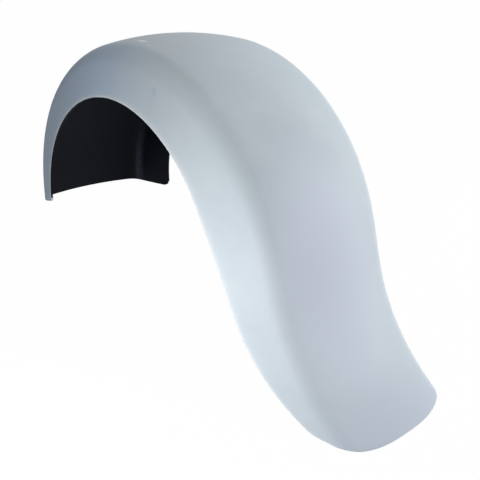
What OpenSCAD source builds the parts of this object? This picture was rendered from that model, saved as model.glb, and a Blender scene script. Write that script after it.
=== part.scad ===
// Rear fender of a motorcycle: one moulded shell that wraps the top of a wide tyre and
// flares out behind it into a short tail. It has an arched crown, rolled shoulders and
// a deep plain skirt on each side, and its edges are trimmed bare.
// X points forward, Y to the left and Z up. It stands on its front edge and its tail.

/* [Crown line] */
// Straight run at the front end
front_straight = 4; // [0:1:30]
// Radius of the crown about the axle
crown_radius = 350; // [310:5:400]
// Angle that the crown wraps about the axle, in degrees
wrap_angle = 156.5; // [130:0.5:165]
// Length over which the wrap eases into the flare
ease_length = 115; // [80:5:150]
// Radius of the flare behind the tyre
flare_radius = 295; // [250:5:500]
// Length of the flare at its full curve
flare_length = 130; // [80:5:160]
// Length over which the flare straightens out
straighten_length = 60; // [30:5:90]
// Straight lip at the tail
lip_length = 10; // [0:1:30]

/* [Width over the shoulders] */
// Width at the front edge
front_width = 232; // [200:2:260]
// Width above the front of the tyre
fore_width = 255; // [230:1:280]
// Width above the back of the tyre
aft_width = 256; // [230:1:280]
// Width at the tail
tail_width = 221; // [200:2:260]

/* [Crown and shoulders] */
// Radius of the arch across the crown, at the front
front_camber = 400; // [250:10:900]
// Radius of the arch across the crown, at the tail
tail_camber = 680; // [300:10:900]
// Radius of the rolled shoulder at the front
front_shoulder = 34; // [15:1:50]
// Radius of the rolled shoulder behind the tyre
aft_shoulder = 38; // [15:1:50]
// Radius of the rolled shoulder at the tail
tail_shoulder = 34; // [15:1:50]

/* [Skirts] */
// Outward lean of the skirts at the front, in degrees
front_lean = 17; // [5:1:30]
// Outward lean of the skirts behind the tyre, in degrees
aft_lean = 10; // [2:1:25]
// Outward lean of the skirts at the tail, in degrees
tail_lean = 37; // [10:1:40]
// Depth of the skirts below the crown at the front edge
front_depth = 111; // [80:1:130]
// Depth of the skirts at the fore side of the tyre
fore_depth = 97.5; // [75:0.5:120]
// Depth of the skirts over the tyre
arch_depth = 89.5; // [70:0.5:110]
// Depth of the skirts where the flare starts
aft_depth = 101.5; // [75:0.5:120]
// Depth of the skirts along the flare
flare_depth = 71.5; // [55:0.5:90]
// Depth of the skirts at the tail
tail_depth = 13.5; // [8:0.5:40]

/* [Trim] */
// Thickness of the shell
wall = 4; // [2.5:0.5:6]
// How much higher the left skirt is cut at its front corner
left_cut = 34; // [0:1:45]
// How much higher the right skirt is cut at its front corner
right_cut = 0; // [0:1:45]
// Radius of the front corners of the skirts
corner_radius = 8; // [2:1:15]
// How far the tail edge sweeps forward from the middle to its corners
tail_sweep = 71; // [30:1:90]
// Fullness of the tail edge, where a higher value is flatter in the middle
tail_fullness = 2.6; // [2:0.1:5]

/* [Hidden] */

// Stations along the fender, as parts of its length
mid_fore = 0.25;
mid_aft = 0.6;
depth_stations = [0, 0.12, 0.3, 0.7, 0.85, 1];
// How sharply the front cut rises, and how round the tail corners end
cut_power = 1.3;
tail_round = 2.4;
// Part of the tail's sweep at which the lengths across its edge are taken
tail_station = 0.55;

// Facets along the fender, and across half of the crown, one shoulder and one skirt
rows = 72;
crown_facets = 5;
shoulder_facets = 7;
skirt_facets = 8;
across = crown_facets + shoulder_facets + skirt_facets;
spine_steps = 400;

// Lengths along the crown to the end of each part of its curve
wrap_length = crown_radius * wrap_angle * PI / 180;
wrap_end = front_straight + wrap_length;
ease_end = wrap_end + ease_length;
flare_end = ease_end + flare_length;
straighten_end = flare_end + straighten_length;
total_length = straighten_end + lip_length;
step = total_length / spine_steps;

function clamp(x, low, high) = min(max(x, low), high);
function degrees(x) = x * 180 / PI;

// Angle that the crown line has turned through at a length t from the front edge
function turn(t) =
    let (
        wrap = clamp(t - front_straight, 0, wrap_length),
        ease = clamp(t - wrap_end, 0, ease_length),
        flare = clamp(t - ease_end, 0, flare_length),
        last = clamp(t - flare_end, 0, straighten_length)
    )
    degrees(
        wrap / crown_radius
        + ease / crown_radius
        - (1 / crown_radius + 1 / flare_radius) * ease * ease / (2 * ease_length)
        - flare / flare_radius
        - (last - last * last / (2 * straighten_length)) / flare_radius
    );

// Points of the crown line as [back, up], measured from the axle
spine = [
    for (
        i = 0, back = -crown_radius, up = -front_straight;
        i <= spine_steps;
        back = back + step * sin(turn((i + 0.5) * step)),
        up = up + step * cos(turn((i + 0.5) * step)),
        i = i + 1
    )
    [back, up]
];

function spine_at(t) =
    let (i = clamp(floor(t / step), 0, spine_steps - 1))
    spine[i] + (t / step - i) * (spine[i + 1] - spine[i]);

// Smooth curve through the values v at the stations s
function slope(s, v, i) =
    let (a = max(i - 1, 0), b = min(i + 1, len(s) - 1))
    (v[b] - v[a]) / (s[b] - s[a]);

function through(s, v, x) =
    let (
        i = max([for (k = [0 : len(s) - 2]) if (k == 0 || s[k] <= x) k]),
        h = s[i + 1] - s[i],
        u = clamp((x - s[i]) / h, 0, 1)
    )
    v[i] * (2 * u ^ 3 - 3 * u ^ 2 + 1)
    + v[i + 1] * (3 * u ^ 2 - 2 * u ^ 3)
    + slope(s, v, i) * h * (u ^ 3 - 2 * u ^ 2 + u)
    + slope(s, v, i + 1) * h * (u ^ 3 - u ^ 2);

function half_width(x) =
    through([0, mid_fore, mid_aft, 1], [front_width, fore_width, aft_width, tail_width], x) / 2;
function camber(x) = through([0, 1], [front_camber, tail_camber], x);
function shoulder(x) =
    through([0, mid_aft, 1], [front_shoulder, aft_shoulder, tail_shoulder], x);
function lean(x) = through([0, mid_aft, 1], [front_lean, aft_lean, tail_lean], x);
function depth(x) =
    through(
        depth_stations,
        [front_depth, fore_depth, arch_depth, aft_depth, flare_depth, tail_depth],
        x
    );

// Half of the cross-section at a station x: [camber radius, shoulder radius, angle where
// the crown meets the shoulder, angle where the shoulder meets the skirt, skirt length]
function section(x) =
    let (
        rc = camber(x),
        rs = shoulder(x),
        start = asin((half_width(x) - rs * cos(lean(x))) / (rc - rs)),
        end = 90 - lean(x),
        drop = rc * (1 - cos(start)) + rs * (cos(start) - cos(end))
    )
    [rc, rs, start, end, max(depth(x) - drop, 1) / cos(lean(x))];

// Point of that half section as [out, down, angle of its normal]. The place across runs
// from 0 at the middle to 1 at the shoulder, 2 at the skirt and 3 at the skirt's edge.
function section_point(q, place) =
    let (
        crown = clamp(place, 0, 1) * q[2],
        angle = crown + clamp(place - 1, 0, 1) * (q[3] - q[2]),
        skirt = clamp(place - 2, 0, 1) * q[4]
    )
    [
        q[0] * sin(crown) + q[1] * (sin(angle) - sin(crown)) + skirt * cos(q[3]),
        q[0] * (1 - cos(crown)) + q[1] * (cos(crown) - cos(angle)) + skirt * sin(q[3]),
        angle
    ];

// Place across for each column of facets, closer together towards the skirt's edge
function place(j) =
    j <= crown_facets ? j / crown_facets
    : j <= crown_facets + shoulder_facets ? 1 + (j - crown_facets) / shoulder_facets
    : 2 + sin(90 * (j - crown_facets - shoulder_facets) / skirt_facets);

// Front edge: level, with the skirts cut back towards their rounded corners
front_section = section(0);
function front_edge(place, cut) =
    let (
        skirt = clamp(place - 2, 0, 1),
        inside = max(corner_radius - front_section[4] * (1 - skirt), 0)
    )
    cut * skirt ^ cut_power + corner_radius - sqrt(corner_radius ^ 2 - inside ^ 2);

// Tail edge: swept forward from the middle to the corners
tail_section = section(1 - tail_station * tail_sweep / total_length);
tail_lengths = [
    tail_section[0] * tail_section[2] * PI / 180,
    tail_section[1] * (tail_section[3] - tail_section[2]) * PI / 180,
    tail_section[4]
];
function tail_edge(place) =
    let (
        run = tail_lengths * [clamp(place, 0, 1), clamp(place - 1, 0, 1), clamp(place - 2, 0, 1)],
        part = min(run / (tail_lengths * [1, 1, 1]), 1)
    )
    total_length - tail_sweep * (1 - (1 - part ^ tail_fullness) ^ (1 / tail_round));

// Outer and inner point at row i and column j, as [back, left, up] from the axle
function shell_point(i, j) =
    let (
        side = sign(j),
        front = front_edge(place(abs(j)), side > 0 ? left_cut : right_cut),
        t = front + (tail_edge(place(abs(j))) - front) * i / rows,
        p = section_point(section(t / total_length), place(abs(j))),
        c = spine_at(t),
        out = [-cos(turn(t)), sin(turn(t))],
        outer = [c[0] - out[0] * p[1], side * p[0], c[1] - out[1] * p[1]],
        normal = [out[0] * cos(p[2]), side * sin(p[2]), out[1] * cos(p[2])]
    )
    [outer, outer - wall * normal];

shell = [for (i = [0 : rows]) for (j = [-across : across]) shell_point(i, j)];
columns = 2 * across + 1;
function index(i, j) = i * columns + j + across;

// Ground line: from the middle of the front edge to the lowest part of the tail
pivot = shell[index(0, 0)][0];
pitch = -min([
    for (j = [-across : across]) for (k = [0, 1])
    let (p = shell[index(rows, j)][k] - pivot)
    atan2(p[2], p[0])
]);

// Turns a point from the axle's frame to the standing frame
function stand(p) = [
    p[2] * sin(pitch) - p[0] * cos(pitch),
    p[1],
    p[2] * cos(pitch) + p[0] * sin(pitch)
];

standing = concat([for (p = shell) stand(p[0])], [for (p = shell) stand(p[1])]);
all_x = [for (p = standing) p[0]];
all_z = [for (p = standing) p[2]];
origin = [(min(all_x) + max(all_x)) / 2, 0, min(all_z)];

// Two triangles for each four-sided patch, with the patches of the two sides split alike
count = len(shell);
function split(a, b, c, d, mirrored) =
    mirrored ? [[a, b, d], [b, c, d]] : [[a, b, c], [a, c, d]];

// The outer skin, or the inner one, whose points follow it and whose patches face inwards
function skin(inner) = [
    for (i = [0 : rows - 1]) for (j = [-across : across - 1])
    let (
        first = inner ? count : 0,
        a = first + index(i, j),
        b = first + index(i + 1, j),
        c = first + index(i + 1, j + 1),
        d = first + index(i, j + 1)
    )
    for (f = inner ? split(d, c, b, a, j >= 0) : split(a, b, c, d, j >= 0)) f
];

// The cut edge all round the shell, from the outer skin to the inner one
function rim(list) = [
    for (k = [0 : len(list) - 2])
    let (a = list[k], b = list[k + 1])
    for (f = split(a, b, b + count, a + count, false)) f
];
around = concat(
    [for (j = [-across : across]) index(0, j)],
    [for (i = [1 : rows]) index(i, across)],
    [for (j = [across - 1 : -1 : -across]) index(rows, j)],
    [for (i = [rows - 1 : -1 : 0]) index(i, -across)]
);

module fender() {
    color("#c5ced8")
    translate(-origin)
    polyhedron(
        points = standing,
        faces = concat(skin(false), skin(true), rim(around))
    );
}

fender();
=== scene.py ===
import math

import bmesh
import bpy
from mathutils import Matrix, Vector


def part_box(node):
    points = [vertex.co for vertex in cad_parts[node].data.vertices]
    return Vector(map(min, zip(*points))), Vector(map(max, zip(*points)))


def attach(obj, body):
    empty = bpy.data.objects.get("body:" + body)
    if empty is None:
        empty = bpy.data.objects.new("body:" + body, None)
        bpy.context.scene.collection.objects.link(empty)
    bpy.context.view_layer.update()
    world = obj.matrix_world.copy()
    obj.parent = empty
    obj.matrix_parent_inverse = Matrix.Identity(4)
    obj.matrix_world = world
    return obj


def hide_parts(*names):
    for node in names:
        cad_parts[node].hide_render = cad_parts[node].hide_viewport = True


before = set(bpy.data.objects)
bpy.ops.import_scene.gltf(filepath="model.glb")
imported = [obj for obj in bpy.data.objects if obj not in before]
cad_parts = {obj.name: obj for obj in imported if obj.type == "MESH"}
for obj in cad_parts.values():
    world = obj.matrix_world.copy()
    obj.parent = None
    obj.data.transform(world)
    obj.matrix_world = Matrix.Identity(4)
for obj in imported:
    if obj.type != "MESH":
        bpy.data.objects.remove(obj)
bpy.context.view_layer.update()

MM = 0.001

# Crown line of the fender, in millimetres and degrees
FRONT_STRAIGHT = 4
CROWN_RADIUS = 350
WRAP_ANGLE = 156.5
EASE_LENGTH = 115
FLARE_RADIUS = 295
FLARE_LENGTH = 130
STRAIGHTEN_LENGTH = 60
LIP_LENGTH = 10

# Values along the fender, each with the parts of its length where they hold
WIDTHS = ((0, 0.25, 0.6, 1), (232, 255, 256, 221))
CAMBERS = ((0, 1), (400, 680))
SHOULDERS = ((0, 0.6, 1), (34, 38, 34))
LEANS = ((0, 0.6, 1), (17, 10, 37))
DEPTHS = ((0, 0.12, 0.3, 0.7, 0.85, 1), (107.5, 94, 88, 101.5, 71.5, 13.5))

# Trim
WALL = 4
LEFT_CUT = 34
RIGHT_CUT = 3
CUT_POWER = 1.3
LEFT_CORNER = 8
RIGHT_CORNER = 14
TAIL_SWEEP = 71
TAIL_FULLNESS = 2.6
TAIL_ROUND = 2.4
TAIL_STATION = 0.55
OUTER_ROUNDING = 2
INNER_ROUNDING = 0.8
RIM_SEGMENTS = 3
LEAST_SKIRT = 1

# Material slots of the shell's two sides
OUTSIDE = 0
INSIDE = 1

# Gel coat. Real orange peel is 2 to 3 mm across, and is drawn coarser so that it shows
COAT_DARK = "#bac6d0"
COAT_LIGHT = "#d3dce2"
COAT_ROUGHNESS = (0.55, 0.65)
COAT_SHEEN = 0.2
CLOUD_SIZE = 120
CLOUD_DETAIL = 5
CLOUD_BREAKUP = 0.65
PEEL_SIZE = 6
PEEL_DETAIL = 1
PEEL_DEPTH = 0.02

# Colours over the gel coat, some of them painted shade, light and highlights, with their places and
# half sizes in millimetres. Marks fade over an outer part of their size
# Painted bluish shade on the front of the sides
FRONT_SHADE_TINT = "#bdd0e4"
FRONT_FADE = (0, 200)
SIDE_FADE = (90, 128)
TAIL_COAT = "#c2ccd9"
TAIL_FADE = (-330, -420)
# Painted light over the flare, a little bluer than the coat
PAINTED_LIGHT = "#d0d8e6"
PAINTED_LIGHT_PLACE = (-250, 15, 150)
PAINTED_LIGHT_SIZE = (230, 130, 240)
SPOT = "#bbc8d8"
SPOT_PLACE = (32.4, 131, 344.3)
SPOT_SIZE = (8, 8, 8)
# Painted highlight on the crown
CROWN_HIGHLIGHT = "#f2f3f3"
CROWN_HIGHLIGHT_PLACE = (131, 87.2, 387.5)
CROWN_HIGHLIGHT_SIZE = (17, 5, 8)
MARK_FADE = 0.6

# Painted highlight on the rims and, from a part of the way across the shell, towards the skirts'
# edges
RIM_HIGHLIGHT = "#f2f6f9"
RIM_HIGHLIGHT_FROM = 0.82
RIM_HIGHLIGHT_MOST = 0.9
RIM_HIGHLIGHT_POWER = 3
RIM_HIGHLIGHT_PATCHES = (0.6, 1)

# Lining, with the turns of its strands in radians. Real strands are 1 to 2 mm wide, and are
# drawn wider so that they show
LINING_DARK = "#04070d"
LINING_LIGHT = "#0d121c"
LINING_ROUGHNESS = (0.4, 0.6)
LINING_SHEEN = 0.07
STRAND_LENGTH = 12
STRAND_STRETCH = (1, 4, 4)
STRAND_TURNS = ((0.3, 0.9, 0.2), (0.2, -0.7, 1.1))
STRAND_DETAIL = 2
MAT_PATCHES = (0.75, 1.25)
MAT_DEPTH = 0.4

# Painted highlight low down in the corners: distance from the middle, half widths, and height it
# fades over
CORNER_HIGHLIGHT = "#3e4653"
CORNER_HIGHLIGHT_PLACE = 110
CORNER_HIGHLIGHT_EDGE = 6.5
CORNER_HIGHLIGHT_CORE = 1
CORNER_HIGHLIGHT_TOP = 140
CORNER_HIGHLIGHT_BASE = 15
CORNER_HIGHLIGHT_PATCHES = (0.5, 1)

# Camera of the photograph, in metres and degrees
CAMERA_PLACE = Vector((-0.7105, 0.6701, 0.6337))
CAMERA_VIEW = Vector((0.61154, -0.62339, -0.48724))
CAMERA_TILT = 8.88
CAMERA_ANGLE = 40.014

# Floor in metres, with the part of plain white in what is seen of it
FLOOR_SIZE = 40
FLOOR_WHITE = 0.99
FLOOR_PAPER = "#d2d2d2"

# Where the soft lights aim, and the name, place, size and power of each, in metres and watts
AIM = Vector((-0.1, 0, 0.15))
SOFTBOXES = (
    ("left_softbox", (-0.23, 0.6, 0.17), 0.3, 2.14),
    ("tail_softbox", (-0.49, 0.48, 0.1), 0.25, 0.28),
    ("right_softbox", (-0.99, -1.18, 0.61), 1.0, 18.2),
    ("top_softbox", (-0.15, -0.17, 1.75), 1.0, 12.2),
)

# Patches of the visible shell, along it and across half of it
ROWS = 216
CROWN_PATCHES = 14
SHOULDER_PATCHES = 14
SKIRT_PATCHES = 16
ACROSS = CROWN_PATCHES + SHOULDER_PATCHES + SKIRT_PATCHES
SPINE_STEPS = 1600

# Part of the skirt's spacing that is even, and how far out the vertices of the grid's ends lie
EVEN_SPACING = 0.4
GRID_END = 0.999

# Lengths along the crown to the end of each part of its curve
WRAP_LENGTH = CROWN_RADIUS * math.radians(WRAP_ANGLE)
WRAP_END = FRONT_STRAIGHT + WRAP_LENGTH
EASE_END = WRAP_END + EASE_LENGTH
FLARE_END = EASE_END + FLARE_LENGTH
TOTAL_LENGTH = FLARE_END + STRAIGHTEN_LENGTH + LIP_LENGTH
STEP = TOTAL_LENGTH / SPINE_STEPS


def clamp(value, low, high):
    return min(max(value, low), high)


def turn(t):
    """Angle that the crown line has turned through at a length t from the front edge."""
    wrap = clamp(t - FRONT_STRAIGHT, 0, WRAP_LENGTH)
    ease = clamp(t - WRAP_END, 0, EASE_LENGTH)
    flare = clamp(t - EASE_END, 0, FLARE_LENGTH)
    last = clamp(t - FLARE_END, 0, STRAIGHTEN_LENGTH)
    change = 1 / CROWN_RADIUS + 1 / FLARE_RADIUS
    return (
        (wrap + ease) / CROWN_RADIUS
        - change * ease * ease / (2 * EASE_LENGTH)
        - (flare + last - last * last / (2 * STRAIGHTEN_LENGTH)) / FLARE_RADIUS
    )


def crown_line():
    """Points of the crown line as (back, up) from the axle."""
    points = [(-CROWN_RADIUS, -FRONT_STRAIGHT)]
    for i in range(SPINE_STEPS):
        angle = turn((i + 0.5) * STEP)
        back, up = points[-1]
        points.append((back + STEP * math.sin(angle), up + STEP * math.cos(angle)))
    return points


SPINE = crown_line()


def spine_at(t):
    """Point of the crown line at a length t from the front edge, as (back, up)."""
    i = int(clamp(t / STEP, 0, SPINE_STEPS - 1))
    part = t / STEP - i
    return tuple(a + part * (b - a) for a, b in zip(SPINE[i], SPINE[i + 1]))


def slope(table, i):
    """Slope of the smooth curve through a table's values at its entry i."""
    places, values = table
    a, b = max(i - 1, 0), min(i + 1, len(places) - 1)
    return (values[b] - values[a]) / (places[b] - places[a])


def along(table, x):
    """Value at the part x of the length, on a smooth curve through the table's values."""
    places, values = table
    i = max(k for k in range(len(places) - 1) if k == 0 or places[k] <= x)
    span = places[i + 1] - places[i]
    u = clamp((x - places[i]) / span, 0, 1)
    return (
        values[i] * (2 * u**3 - 3 * u**2 + 1)
        + values[i + 1] * (3 * u**2 - 2 * u**3)
        + slope(table, i) * span * (u**3 - 2 * u**2 + u)
        + slope(table, i + 1) * span * (u**3 - u**2)
    )


def section(x):
    """Half section: camber radius, shoulder radius, angles where they end, skirt length."""
    camber, shoulder = along(CAMBERS, x), along(SHOULDERS, x)
    lean = math.radians(along(LEANS, x))
    half = along(WIDTHS, x) / 2
    start = math.asin((half - shoulder * math.cos(lean)) / (camber - shoulder))
    end = math.pi / 2 - lean
    drop = camber * (1 - math.cos(start)) + shoulder * (math.cos(start) - math.cos(end))
    skirt = max(along(DEPTHS, x) - drop, LEAST_SKIRT) / math.cos(lean)
    return camber, shoulder, start, end, skirt


def section_point(half_section, place):
    """Point as (out, down, angle of its normal) at a place across the half section.

    The place is 0 at the middle, 1 at the shoulder, 2 at the skirt and 3 at its edge.
    """
    camber, shoulder, start, end, skirt_length = half_section
    crown = clamp(place, 0, 1) * start
    angle = crown + clamp(place - 1, 0, 1) * (end - start)
    skirt = clamp(place - 2, 0, 1) * skirt_length
    out = camber * math.sin(crown) + shoulder * (math.sin(angle) - math.sin(crown))
    down = camber * (1 - math.cos(crown)) + shoulder * (math.cos(crown) - math.cos(angle))
    return out + skirt * math.cos(end), down + skirt * math.sin(end), angle


def place_across(j):
    """Place across of column j, with the columns closer towards the skirt's edge."""
    if j <= CROWN_PATCHES:
        return j / CROWN_PATCHES
    j -= CROWN_PATCHES
    if j <= SHOULDER_PATCHES:
        return 1 + j / SHOULDER_PATCHES
    rest = 1 - (j - SHOULDER_PATCHES) / SKIRT_PATCHES
    return 3 - (EVEN_SPACING * rest + (1 - EVEN_SPACING) * rest * rest)


FRONT_SKIRT = section(0)[4]
TAIL_SECTION = section(1 - TAIL_STATION * TAIL_SWEEP / TOTAL_LENGTH)
TAIL_LENGTHS = (
    TAIL_SECTION[0] * TAIL_SECTION[2],
    TAIL_SECTION[1] * (TAIL_SECTION[3] - TAIL_SECTION[2]),
    TAIL_SECTION[4],
)


def front_edge(place, cut, radius):
    """Length along the crown at which the front edge crosses a place across."""
    skirt = clamp(place - 2, 0, 1)
    inside = max(radius - FRONT_SKIRT * (1 - skirt), 0)
    corner = radius - math.sqrt(radius**2 - inside**2)
    return cut * skirt**CUT_POWER + corner


def tail_edge(place):
    """Length along the crown at which the tail edge crosses a place across."""
    run = sum(length * clamp(place - i, 0, 1) for i, length in enumerate(TAIL_LENGTHS))
    part = min(run / sum(TAIL_LENGTHS), 1)
    return TOTAL_LENGTH - TAIL_SWEEP * (1 - (1 - part**TAIL_FULLNESS) ** (1 / TAIL_ROUND))


def shell_point(back_part, column):
    """Outer point and its normal at a part of the way back, from the axle, as (back, left, up)."""
    side = 1 if column > 0 else -1
    place = place_across(abs(column))
    cut, radius = (LEFT_CUT, LEFT_CORNER) if side > 0 else (RIGHT_CUT, RIGHT_CORNER)
    front = front_edge(place, cut, radius)
    t = front + (tail_edge(place) - front) * back_part
    out, down, angle = section_point(section(t / TOTAL_LENGTH), place)
    back, up = spine_at(t)
    normal = Vector((-math.cos(turn(t)), 0, math.sin(turn(t))))
    point = Vector((back, side * out, up)) - normal * down
    return point, normal * math.cos(angle) + Vector((0, side * math.sin(angle), 0))


def ground_pitch():
    """Angle that brings the lowest part of the tail level with the front edge."""
    front, _ = shell_point(0, 0)
    rim = []
    for column in range(-ACROSS, ACROSS + 1):
        point, normal = shell_point(1, column)
        rim += [point - front, point - normal * WALL - front]
    return -min(math.atan2(p.z, p.x) for p in rim)


def stand(bm):
    """Turns the mesh from the axle's frame to the part's own, in metres."""
    pitch = ground_pitch()
    bmesh.ops.scale(bm, vec=(-1, 1, 1), verts=bm.verts)
    bmesh.ops.rotate(bm, matrix=Matrix.Rotation(pitch, 4, "Y"), verts=bm.verts)
    bmesh.ops.scale(bm, vec=(MM, MM, MM), verts=bm.verts)


def seat(bm):
    """Moves the mesh to the middle of the CAD box, with its lowest point on the ground."""
    low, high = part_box("fender")
    middle = (min(v.co.x for v in bm.verts) + max(v.co.x for v in bm.verts)) / 2
    lowest = min(v.co.z for v in bm.verts)
    shift = ((low[0] + high[0]) / 2 - middle, 0, low[2] - lowest)
    bmesh.ops.translate(bm, vec=shift, verts=bm.verts)


def round_rim(bm, edges, radius, finish, rim):
    """Rounds rim edges, gives the rounding the outside or inside finish, and marks it for the
    painted highlight.
    """
    made = bmesh.ops.bevel(
        bm,
        geom=edges,
        offset=radius * MM,
        segments=RIM_SEGMENTS,
        profile=0.5,
        affect="EDGES",
        clamp_overlap=True,
        material=-1,
    )
    for face in made["faces"]:
        face.material_index = finish
        face[rim] = 1


def new_piece(name, bm, *materials):
    """Piece of the scene from a finished mesh, with its materials in order."""
    mesh = bpy.data.meshes.new(name)
    bm.to_mesh(mesh)
    bm.free()
    mesh.shade_smooth()
    for material in materials:
        mesh.materials.append(material)
    piece = bpy.data.objects.new(name, mesh)
    bpy.context.scene.collection.objects.link(piece)
    return piece


def make_shell(coat, lining):
    """The moulded shell: an outer skin shaped from a grid, then its wall, then its rims.

    The face attribute rim says how strongly the painted rim highlight lies on each face.
    """
    bm = bmesh.new()
    rim = bm.faces.layers.float.new("rim")
    bmesh.ops.create_grid(bm, x_segments=ROWS, y_segments=2 * ACROSS, size=1)
    ends = {edge for edge in bm.edges if all(abs(vert.co.x) > GRID_END for vert in edge.verts)}
    # Faces towards the skirts' edges get a growing share of the painted highlight
    for face in bm.faces:
        outward = (abs(face.calc_center_median().y) - RIM_HIGHLIGHT_FROM) / (1 - RIM_HIGHLIGHT_FROM)
        face[rim] = RIM_HIGHLIGHT_MOST * clamp(outward, 0, 1) ** RIM_HIGHLIGHT_POWER
    for vert in bm.verts:
        vert.co, _ = shell_point((1 - vert.co.x) / 2, round(vert.co.y * ACROSS))
    stand(bm)
    outer = set(bm.faces)
    outer_rim = [edge for edge in bm.edges if edge.is_boundary]
    walled = bmesh.ops.solidify(bm, geom=bm.faces[:], thickness=WALL * MM)
    inner = {item for item in walled["geom"] if isinstance(item, bmesh.types.BMFace)}
    cut = set(bm.faces) - outer - inner
    inner_rim = {edge for face in cut for edge in face.edges if inner & set(edge.link_faces)}
    for face in inner | cut:
        face.material_index = OUTSIDE if ends & set(face.edges) else INSIDE
    round_rim(bm, outer_rim, OUTER_ROUNDING, OUTSIDE, rim)
    round_rim(bm, list(inner_rim), INNER_ROUNDING, INSIDE, rim)
    seat(bm)
    return new_piece("fender_shell", bm, coat, lining)


def hex_colour(text):
    """Linear colour from an sRGB hex value."""
    values = [int(text[i : i + 2], 16) / 255 for i in (1, 3, 5)]
    linear = [v / 12.92 if v <= 0.04045 else ((v + 0.055) / 1.055) ** 2.4 for v in values]
    return (*linear, 1)


def add_node(tree, kind, inputs=(), **settings):
    """Adds a node with its settings. Inputs are values, or outputs of other nodes to link."""
    node = tree.nodes.new(kind)
    for name, value in settings.items():
        setattr(node, name, value)
    for name, value in dict(inputs).items():
        if isinstance(value, bpy.types.NodeSocket):
            tree.links.new(value, node.inputs[name])
        else:
            node.inputs[name].default_value = value
    return node


def new_material(name):
    """Material without nodes, and its node tree."""
    material = bpy.data.materials.new(name)
    material.use_nodes = True
    material.node_tree.nodes.clear()
    return material, material.node_tree


def satin_coat():
    """Satin gel coat on moulded glass-fibre laminate: pale blue-grey, broad soft reflections.

    The colour clouds a little. It has painted bluish shade on the front of the sides and is
    plainer at the tail, with painted light over the flare, a painted highlight on the crown and a
    spot on the left skirt. A painted highlight lies pale on the rims and towards the skirts' edges.
    Orange peel breaks the reflections.
    """
    material, tree = new_material("satin_gel_coat")
    place = add_node(tree, "ShaderNodeTexCoord").outputs["Object"]
    axes = add_node(tree, "ShaderNodeSeparateXYZ", {"Vector": place}).outputs
    side = add_node(tree, "ShaderNodeMath", {0: axes["Y"]}, operation="ABSOLUTE").outputs[0]
    # Strength of the painted highlight on the rims and towards the skirts' edges
    rim = add_node(tree, "ShaderNodeAttribute", attribute_name="rim").outputs["Fac"]
    clouds = add_node(
        tree,
        "ShaderNodeTexNoise",
        {
            "Vector": place,
            "Scale": 1 / (CLOUD_SIZE * MM),
            "Detail": CLOUD_DETAIL,
            "Roughness": CLOUD_BREAKUP,
        },
    ).outputs["Fac"]

    # Masks that fade in towards the front, the sides and the tail
    front, sides, tail = (
        add_node(
            tree,
            "ShaderNodeMapRange",
            {"Value": value, "From Min": low * MM, "From Max": high * MM},
            interpolation_type="SMOOTHSTEP",
        ).outputs["Result"]
        for value, (low, high) in (
            (axes["X"], FRONT_FADE),
            (side, SIDE_FADE),
            (axes["X"], TAIL_FADE),
        )
    )

    # Masks of the painted light over the flare, the spot and the painted highlight on the crown,
    # each an ellipsoid that fades towards its surface
    marks = []
    for centre, size in (
        (PAINTED_LIGHT_PLACE, PAINTED_LIGHT_SIZE),
        (SPOT_PLACE, SPOT_SIZE),
        (CROWN_HIGHLIGHT_PLACE, CROWN_HIGHLIGHT_SIZE),
    ):
        around = add_node(
            tree,
            "ShaderNodeMapping",
            {
                "Vector": place,
                "Location": [value * MM for value in centre],
                "Scale": [value * MM for value in size],
            },
            vector_type="TEXTURE",
        ).outputs["Vector"]
        inside = add_node(
            tree, "ShaderNodeTexGradient", {"Vector": around}, gradient_type="SPHERICAL"
        ).outputs["Fac"]
        marks.append(
            add_node(
                tree,
                "ShaderNodeMapRange",
                {"Value": inside, "From Max": MARK_FADE},
                interpolation_type="SMOOTHSTEP",
            ).outputs["Result"]
        )
    painted_light, spot, crown_highlight = marks

    # Patchy strength of the painted rim highlight, and the coat's roughness
    rim_highlight_patches, roughness = (
        add_node(
            tree, "ShaderNodeMapRange", {"Value": clouds, "To Min": low, "To Max": high}
        ).outputs["Result"]
        for low, high in (RIM_HIGHLIGHT_PATCHES, COAT_ROUGHNESS)
    )
    # The front and side masks together place the painted bluish shade; the rim mask places the
    # painted rim highlight
    front_shade, rim_highlight_mask = (
        add_node(tree, "ShaderNodeMath", {0: a, 1: b}, operation="MULTIPLY").outputs[0]
        for a, b in ((front, sides), (rim, rim_highlight_patches))
    )
    colour = hex_colour(COAT_DARK)
    # Over the coat's colour go the painted bluish shade, the painted light over the flare, the
    # plain tail, the spot, and painted highlights on the crown and the rims
    for mask, over in (
        (clouds, COAT_LIGHT),
        (front_shade, FRONT_SHADE_TINT),
        (painted_light, PAINTED_LIGHT),
        (tail, TAIL_COAT),
        (spot, SPOT),
        (crown_highlight, CROWN_HIGHLIGHT),
        (rim_highlight_mask, RIM_HIGHLIGHT),
    ):
        colour = add_node(
            tree,
            "ShaderNodeMix",
            {"Factor": mask, 6: colour, 7: hex_colour(over)},
            data_type="RGBA",
        ).outputs[2]

    peel = add_node(
        tree,
        "ShaderNodeTexNoise",
        {"Vector": place, "Scale": 1 / (PEEL_SIZE * MM), "Detail": PEEL_DETAIL},
    ).outputs["Fac"]
    bump = add_node(
        tree, "ShaderNodeBump", {"Height": peel, "Strength": 1, "Distance": PEEL_DEPTH * MM}
    ).outputs["Normal"]
    shader = add_node(
        tree,
        "ShaderNodeBsdfPrincipled",
        {
            "Base Color": colour,
            "Roughness": roughness,
            "Specular IOR Level": COAT_SHEEN,
            "Normal": bump,
        },
    ).outputs["BSDF"]
    add_node(tree, "ShaderNodeOutputMaterial", {"Surface": shader})
    return material


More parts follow.
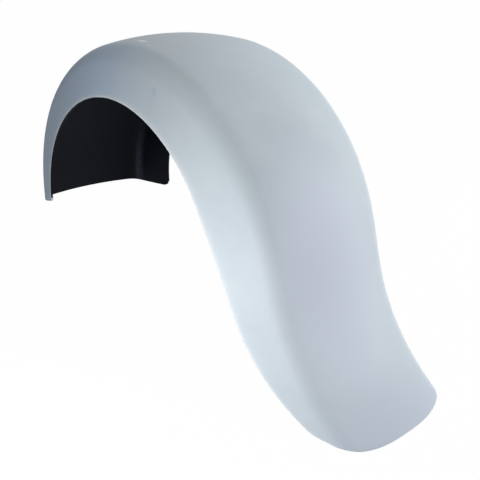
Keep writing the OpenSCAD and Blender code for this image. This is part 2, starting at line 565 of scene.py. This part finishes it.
def bare_lining():
    """Black resin over chopped-strand glass mat: nearly black, rough, with a broken sheen.

    Strands show as long bumps in two directions. A pale painted highlight lies in patches low down
    in the corners between crown and skirts.
    """
    material, tree = new_material("black_resin_on_glass_mat")
    place = add_node(tree, "ShaderNodeTexCoord").outputs["Object"]
    axes = add_node(tree, "ShaderNodeSeparateXYZ", {"Vector": place}).outputs
    strands = []
    for angles in STRAND_TURNS:
        turned = add_node(
            tree,
            "ShaderNodeMapping",
            {"Vector": place, "Rotation": angles, "Scale": STRAND_STRETCH},
        ).outputs["Vector"]
        strands.append(
            add_node(
                tree,
                "ShaderNodeTexNoise",
                {"Vector": turned, "Scale": 1 / (STRAND_LENGTH * MM), "Detail": STRAND_DETAIL},
            ).outputs["Fac"]
        )
    mat = add_node(
        tree, "ShaderNodeMath", {0: strands[0], 1: strands[1]}, operation="ADD"
    ).outputs[0]
    side = add_node(tree, "ShaderNodeMath", {0: axes["Y"]}, operation="ABSOLUTE").outputs[0]
    from_corner = add_node(
        tree, "ShaderNodeMath", {0: side, 1: CORNER_HIGHLIGHT_PLACE * MM}, operation="SUBTRACT"
    ).outputs[0]
    away = add_node(tree, "ShaderNodeMath", {0: from_corner}, operation="ABSOLUTE").outputs[0]
    patches, corner, low_down = (
        add_node(
            tree,
            "ShaderNodeMapRange",
            {"Value": value, "From Min": low, "From Max": high},
            interpolation_type="SMOOTHSTEP",
        ).outputs["Result"]
        for value, low, high in (
            (mat, *MAT_PATCHES),
            (away, CORNER_HIGHLIGHT_EDGE * MM, CORNER_HIGHLIGHT_CORE * MM),
            (axes["Z"], CORNER_HIGHLIGHT_TOP * MM, CORNER_HIGHLIGHT_BASE * MM),
        )
    )
    corner_highlight, roughness = (
        add_node(
            tree, "ShaderNodeMapRange", {"Value": patches, "To Min": low, "To Max": high}
        ).outputs["Result"]
        for low, high in (CORNER_HIGHLIGHT_PATCHES, LINING_ROUGHNESS)
    )
    # Painted highlight in the corners, fading out higher up
    for mask in (corner, low_down):
        corner_highlight = add_node(tree, "ShaderNodeMath", {0: corner_highlight, 1: mask}, operation="MULTIPLY").outputs[0]
    colour = hex_colour(LINING_DARK)
    for mask, over in ((patches, LINING_LIGHT), (corner_highlight, CORNER_HIGHLIGHT)):
        colour = add_node(
            tree,
            "ShaderNodeMix",
            {"Factor": mask, 6: colour, 7: hex_colour(over)},
            data_type="RGBA",
        ).outputs[2]
    bump = add_node(
        tree, "ShaderNodeBump", {"Height": mat, "Strength": 1, "Distance": MAT_DEPTH * MM}
    ).outputs["Normal"]
    shader = add_node(
        tree,
        "ShaderNodeBsdfPrincipled",
        {
            "Base Color": colour,
            "Roughness": roughness,
            "Specular IOR Level": LINING_SHEEN,
            "Normal": bump,
        },
    ).outputs["BSDF"]
    add_node(tree, "ShaderNodeOutputMaterial", {"Surface": shader})
    return material


def seen_directly(tree):
    """1 for rays from the camera, from gloss and through glass, and 0 for the object's light."""
    path = add_node(tree, "ShaderNodeLightPath").outputs
    either = add_node(
        tree,
        "ShaderNodeMath",
        {0: path["Is Camera Ray"], 1: path["Is Glossy Ray"]},
        operation="MAXIMUM",
    ).outputs[0]
    return add_node(
        tree, "ShaderNodeMath", {0: either, 1: path["Is Transmission Ray"]}, operation="MAXIMUM"
    ).outputs[0]


def make_floor():
    """White studio floor, which keeps only a faint shadow of the fender."""
    material, tree = new_material("white_studio_floor")
    paper = add_node(
        tree, "ShaderNodeBsdfDiffuse", {"Color": hex_colour(FLOOR_PAPER)}
    ).outputs["BSDF"]
    white = add_node(tree, "ShaderNodeEmission", {"Strength": 1}).outputs["Emission"]
    seen = add_node(
        tree, "ShaderNodeMath", {0: seen_directly(tree), 1: FLOOR_WHITE}, operation="MULTIPLY"
    ).outputs[0]
    surface = add_node(tree, "ShaderNodeMixShader", {0: seen, 1: paper, 2: white}).outputs[0]
    add_node(tree, "ShaderNodeOutputMaterial", {"Surface": surface})
    bm = bmesh.new()
    bmesh.ops.create_grid(bm, x_segments=1, y_segments=1, size=FLOOR_SIZE / 2)
    return new_piece("floor", bm, material)


def make_world():
    """White surroundings, which show in the gloss but give the fender no light."""
    world = bpy.data.worlds.new("studio")
    bpy.context.scene.world = world
    world.use_nodes = True
    tree = world.node_tree
    tree.nodes.clear()
    white = add_node(
        tree, "ShaderNodeBackground", {"Color": (1, 1, 1, 1), "Strength": seen_directly(tree)}
    ).outputs["Background"]
    add_node(tree, "ShaderNodeOutputWorld", {"Surface": white})


def add_softbox(name, place, size, power):
    """A square soft light that looks at the middle of the fender."""
    lamp = bpy.data.lights.new(name, "AREA")
    lamp.size = size
    lamp.energy = power
    light = bpy.data.objects.new(name, lamp)
    light.visible_camera = False
    light.location = place
    light.rotation_euler = (light.location - AIM).to_track_quat("Z", "Y").to_euler()
    bpy.context.scene.collection.objects.link(light)


def make_camera():
    """Camera at the photograph's place."""
    camera = bpy.data.objects.new("camera", bpy.data.cameras.new("camera"))
    camera.data.angle = math.radians(CAMERA_ANGLE)
    turned = CAMERA_VIEW.to_track_quat("-Z", "Y").to_matrix().to_4x4()
    tilt = Matrix.Rotation(math.radians(CAMERA_TILT), 4, "Z")
    camera.matrix_world = Matrix.Translation(CAMERA_PLACE) @ turned @ tilt
    bpy.context.scene.collection.objects.link(camera)
    bpy.context.scene.camera = camera


make_camera()
make_world()
for softbox in SOFTBOXES:
    add_softbox(*softbox)
make_floor()

shell = make_shell(satin_coat(), bare_lining())
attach(shell, "root")
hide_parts("fender")

bpy.context.scene.view_settings.view_transform = "Standard"
